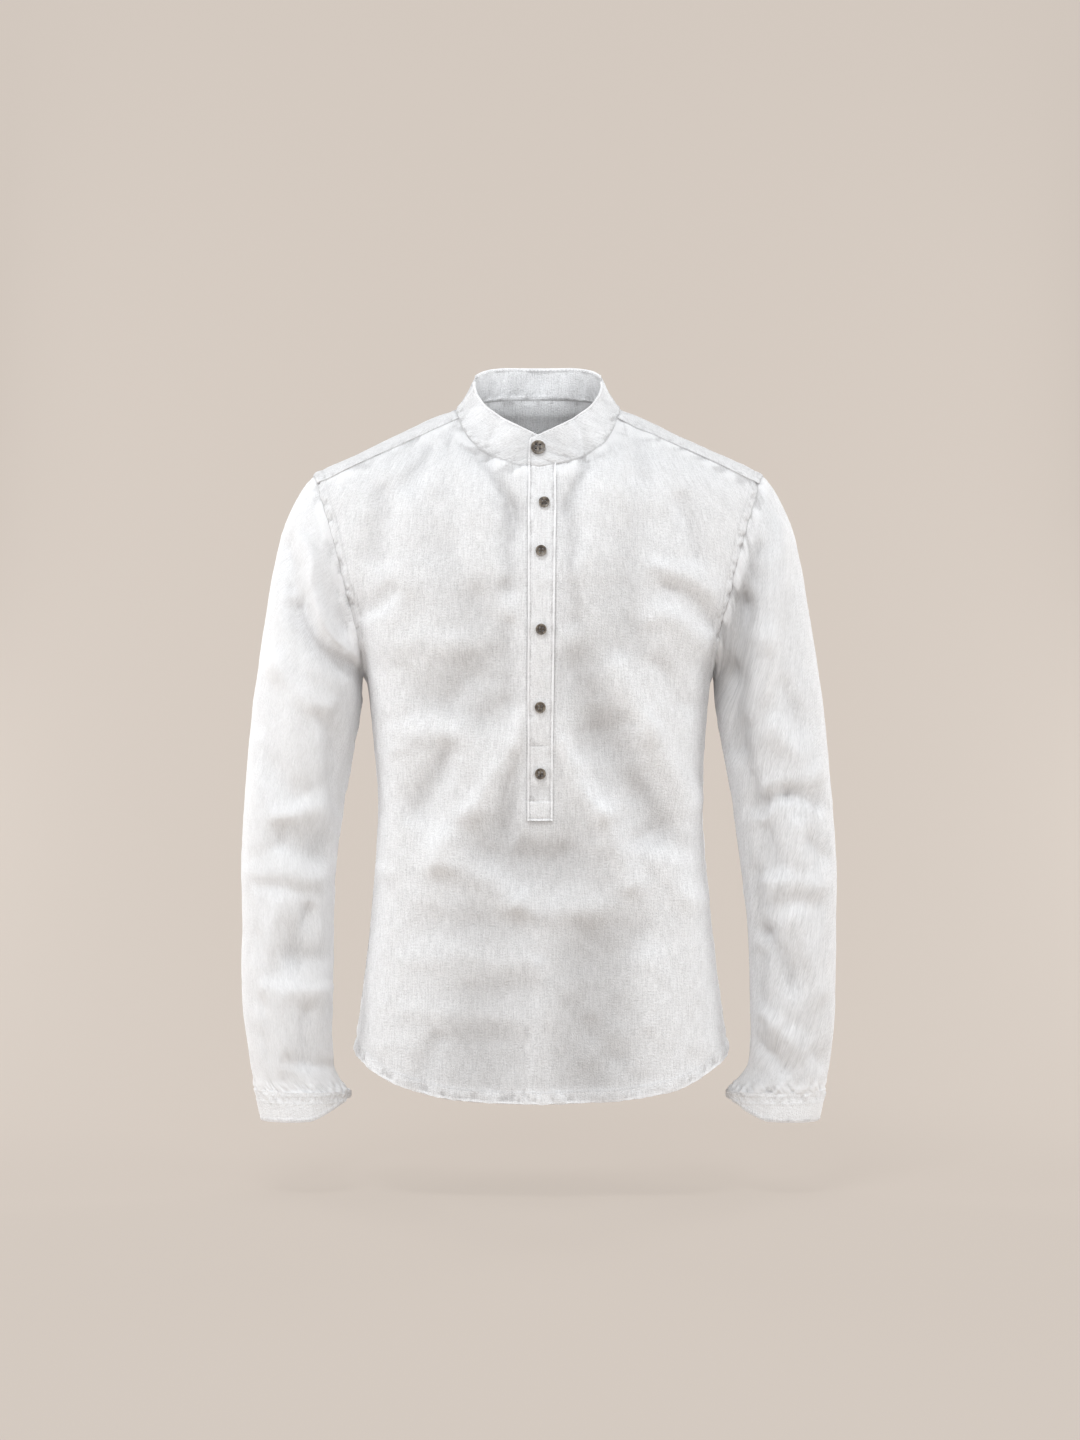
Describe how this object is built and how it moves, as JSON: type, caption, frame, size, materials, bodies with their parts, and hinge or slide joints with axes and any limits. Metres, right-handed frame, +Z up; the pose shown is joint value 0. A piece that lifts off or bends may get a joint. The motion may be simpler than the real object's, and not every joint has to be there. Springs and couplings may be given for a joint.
{
  "type": "mandarin collar shirt",
  "caption": "Long-sleeved linen popover shirt with a mandarin collar band, a buttoned half placket, a yoke, narrow cuffs and a curved hem, filled out as worn.",
  "frame": {"origin": "middle of the neck opening, level with the inner ends of the shoulders", "axes": "+Z up along the wearer, -Y out of the shirt's front, +X towards the wearer's left"},
  "size_m": [0.6134, 0.2311, 0.7807],
  "materials": {
    "linen": "washed white linen with slubs",
    "horn": "polished mottled dark horn"
  },
  "bodies": {
    "root": {"front": "linen", "back": "linen", "yoke": "linen", "sleeve_left": "linen", "sleeve_right": "linen", "cuff_left": "linen", "cuff_right": "linen", "collar_band": "linen", "placket_upper": "linen", "placket_under": "linen", "button_collar": "horn", "button_1": "horn", "button_2": "horn", "button_3": "horn", "button_4": "horn", "button_5": "horn"}
  },
  "joints": []
}
